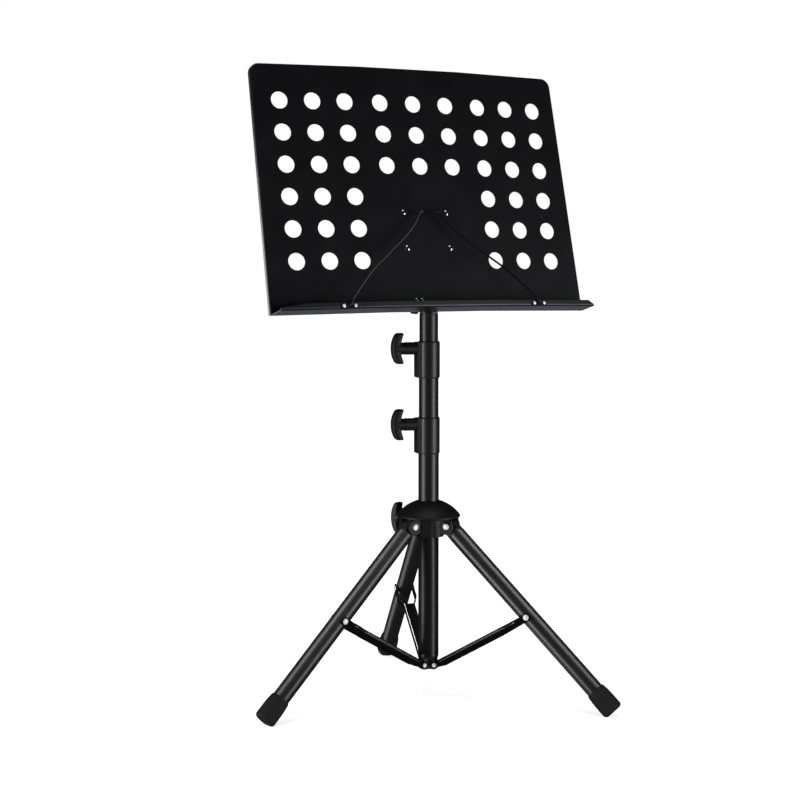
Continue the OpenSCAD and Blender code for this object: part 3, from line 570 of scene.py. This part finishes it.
def page_holder(name, side):
    """A bent wire that follows HOLDER_ROUTE, on the side of the desk given as -1 or 1."""
    curve = bpy.data.curves.new(name + "_wire", "CURVE")
    curve.dimensions = "3D"
    curve.bevel_depth = WIRE_R * MM
    curve.bevel_resolution = 6
    curve.resolution_u = 8
    curve.use_fill_caps = True
    spline = curve.splines.new("NURBS")
    spline.points.add(len(HOLDER_ROUTE) - 1)
    place = saddle_place(side)
    for point, spot in zip(spline.points, HOLDER_ROUTE):
        point.co = (*(place @ Vector(spot) * MM), 1)
    spline.use_endpoint_u = True
    spline.order_u = 3
    curve.materials.append(MATERIALS["wire_black"])
    piece = bpy.data.objects.new(name + "_wire", curve)
    bpy.context.scene.collection.objects.link(piece)
    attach(piece, BODY_OF[name])
    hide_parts(name)


# ---------- stage ----------

# In metres, as everything about the stage is.
CAMERA_SPOT = Vector((-1.274, -2.302, 0.668))
CAMERA_TURN = (math.radians(85.35), 0, math.radians(-28.02))


def camera():
    """The photograph's point of view."""
    data = bpy.data.cameras.new("camera")
    data.sensor_width = 36
    data.lens = 78.75
    eye = bpy.data.objects.new("camera", data)
    eye.location = CAMERA_SPOT
    eye.rotation_euler = CAMERA_TURN
    bpy.context.scene.collection.objects.link(eye)
    bpy.context.scene.camera = eye


def only(*pieces):
    """A collection for a light that falls on these pieces alone."""
    group = bpy.data.collections.new("lit")
    for piece in pieces:
        group.objects.link(piece)
    return group


def panel(name, side_angle, lift, distance, size, power, falls_on=None, tint=(1, 1, 1), centre_z=0.3):
    """A soft box that faces the post at height centre_z. side_angle is degrees round from the camera,
    and lift its angle above that point. distance, size and centre_z are in metres, power in watts."""
    towards = Vector((CAMERA_SPOT.x, CAMERA_SPOT.y, 0)).normalized()
    turned = Matrix.Rotation(math.radians(side_angle), 4, "Z") @ towards
    away = turned * math.cos(math.radians(lift)) + Vector((0, 0, math.sin(math.radians(lift))))
    data = bpy.data.lights.new(name, "AREA")
    data.shape = "RECTANGLE"
    data.size, data.size_y = size
    data.energy = power
    data.color = tint
    lamp = bpy.data.objects.new(name, data)
    lamp.location = away * distance + Vector((0, 0, centre_z))
    lamp.rotation_euler = (-away).to_track_quat("-Z", "Y").to_euler()
    lamp.visible_camera = False
    if falls_on:
        lamp.light_linking.receiver_collection = falls_on
    bpy.context.scene.collection.objects.link(lamp)


def sun(name, direction, strength, angle):
    """A far light that shines along the direction and looks angle degrees wide."""
    data = bpy.data.lights.new(name, "SUN")
    data.energy = strength
    data.angle = math.radians(angle)
    lamp = bpy.data.objects.new(name, data)
    lamp.rotation_euler = Vector(direction).to_track_quat("-Z", "Y").to_euler()
    bpy.context.scene.collection.objects.link(lamp)


def floor():
    """A wide pale floor that stays out of the object's reflections. reach is in metres."""
    mesh = bpy.data.meshes.new("floor")
    reach = 30
    mesh.from_pydata([(-reach, -reach, 0), (reach, -reach, 0), (reach, reach, 0), (-reach, reach, 0)],
                     [], [(0, 1, 2, 3)])
    paint = bpy.data.materials.new("pale_floor")
    paint.use_nodes = True
    shader = paint.node_tree.nodes["Principled BSDF"]
    shader.inputs["Base Color"].default_value = (0.95, 0.95, 0.95, 1)
    shader.inputs["Roughness"].default_value = 0.9
    shader.inputs["Specular IOR Level"].default_value = 0.1
    shader.inputs["Emission Color"].default_value = (1, 1, 1, 1)
    shader.inputs["Emission Strength"].default_value = 0.8
    mesh.materials.append(paint)
    plane = bpy.data.objects.new("floor", mesh)
    bpy.context.scene.collection.objects.link(plane)
    plane.visible_glossy = False
    plane.visible_shadow = False


def world():
    """White where the camera sees it, and dim in the object's reflections."""
    sky = bpy.data.worlds.new("studio")
    sky.use_nodes = True
    tree = sky.node_tree
    tree.nodes.clear()
    seen = tree.nodes.new("ShaderNodeBackground")
    seen.inputs["Color"].default_value = (1, 1, 1, 1)
    seen.inputs["Strength"].default_value = 1.0
    dim = tree.nodes.new("ShaderNodeBackground")
    dim.inputs["Color"].default_value = (0.9, 0.93, 1, 1)
    dim.inputs["Strength"].default_value = 0.03
    path = tree.nodes.new("ShaderNodeLightPath")
    mix = tree.nodes.new("ShaderNodeMixShader")
    out = tree.nodes.new("ShaderNodeOutputWorld")
    tree.links.new(path.outputs["Is Camera Ray"], mix.inputs["Fac"])
    tree.links.new(dim.outputs[0], mix.inputs[1])
    tree.links.new(seen.outputs[0], mix.inputs[2])
    tree.links.new(mix.outputs[0], out.inputs["Surface"])
    bpy.context.scene.world = sky


def light(beads, plate_piece, ledge_piece):
    """Two strips make the twin bands on the post. The other panels fall on chosen pieces only."""
    cool = (0.72, 0.82, 1.0)
    all_but_stays = only(*[NODES[leg + "_stay"] for leg in LEG_AZIMUTH])
    for entry in all_but_stays.collection_objects:
        entry.light_linking.link_state = "EXCLUDE"
    legs = only(*[NODES[leg + end] for leg in LEG_AZIMUTH for end in ("_leg_tube", "_leg_head")])
    panel("left_strip", -62, -4, 2.2, (0.8, 1.8), 33, all_but_stays)
    panel("right_strip", 62, -4, 2.2, (0.8, 1.3), 24, all_but_stays)
    panel("left_low", -56, -26, 2.3, (0.9, 0.7), 17, legs)
    panel("left_high", -67, 58, 2.3, (1.1, 1.1), 30, legs)
    panel("right_high", 62, 50, 2.3, (1.1, 1.1), 30, legs)
    panel("rear_low", -120, -38, 2.3, (0.7, 0.7), 5, legs)
    panel("stay_left", 117, 50, 2.3, (1.4, 1.4), 700, only(*beads))
    panel("stay_right", -98, 64, 2.3, (1.4, 1.4), 700, only(*beads))
    panel("stay_front", 0, 30, 2.3, (1.4, 1.4), 90, only(*beads))
    panel("lip_front", 62, 21, 2.3, (0.9, 0.9), 2.2, only(ledge_piece), cool, 0.6)
    panel("lip_under", 177, -22, 2.3, (1.6, 1.2), 2.2, only(ledge_piece), cool, 0.6)
    desk_back = only(plate_piece, ledge_piece, NODES["desk_bracket"], NODES["tilt_head"])
    panel("back_left", -125, -12, 2.3, (1.3, 1.3), 20, desk_back, centre_z=0.7)
    panel("back_right", 125, -12, 2.3, (1.3, 1.3), 20, desk_back, centre_z=0.7)


# ---------- making it ----------

camera()
world()
floor()
sun("top_sun", (0.1, 0.1, -1), 1.0, 40)
bpy.context.scene.view_settings.view_transform = "Standard"

knob("lower_knob", clamp_frame(POST_KNOB_AZIMUTH, LOWER_BOLT_Z), POST_KNOB_START, 6, 4, 4)
knob("upper_knob", clamp_frame(POST_KNOB_AZIMUTH, UPPER_BOLT_Z), POST_KNOB_START, 6, 4, 4)
knob("tilt_knob", TILT_KNOB_PLACE, TILT_KNOB_START, 6, 0, 4)
knob("hub_knob", clamp_frame(HUB_KNOB_AZIMUTH, HUB_BOLT_Z), HUB_KNOB_START, 2, 0, 3)
hub_cover()
for leg, azimuth in LEG_AZIMUTH.items():
    foot(leg + "_foot", azimuth)
plate_piece = desk_plate()
ledge_piece = ledge()
page_holder("left_page_holder", -1)
page_holder("right_page_holder", 1)
for node in NODES:
    if not NODES[node].hide_render:
        dress(node)

beads = [stay_bead(leg + "_stay", azimuth) for leg, azimuth in LEG_AZIMUTH.items()]
light(beads, plate_piece, ledge_piece)
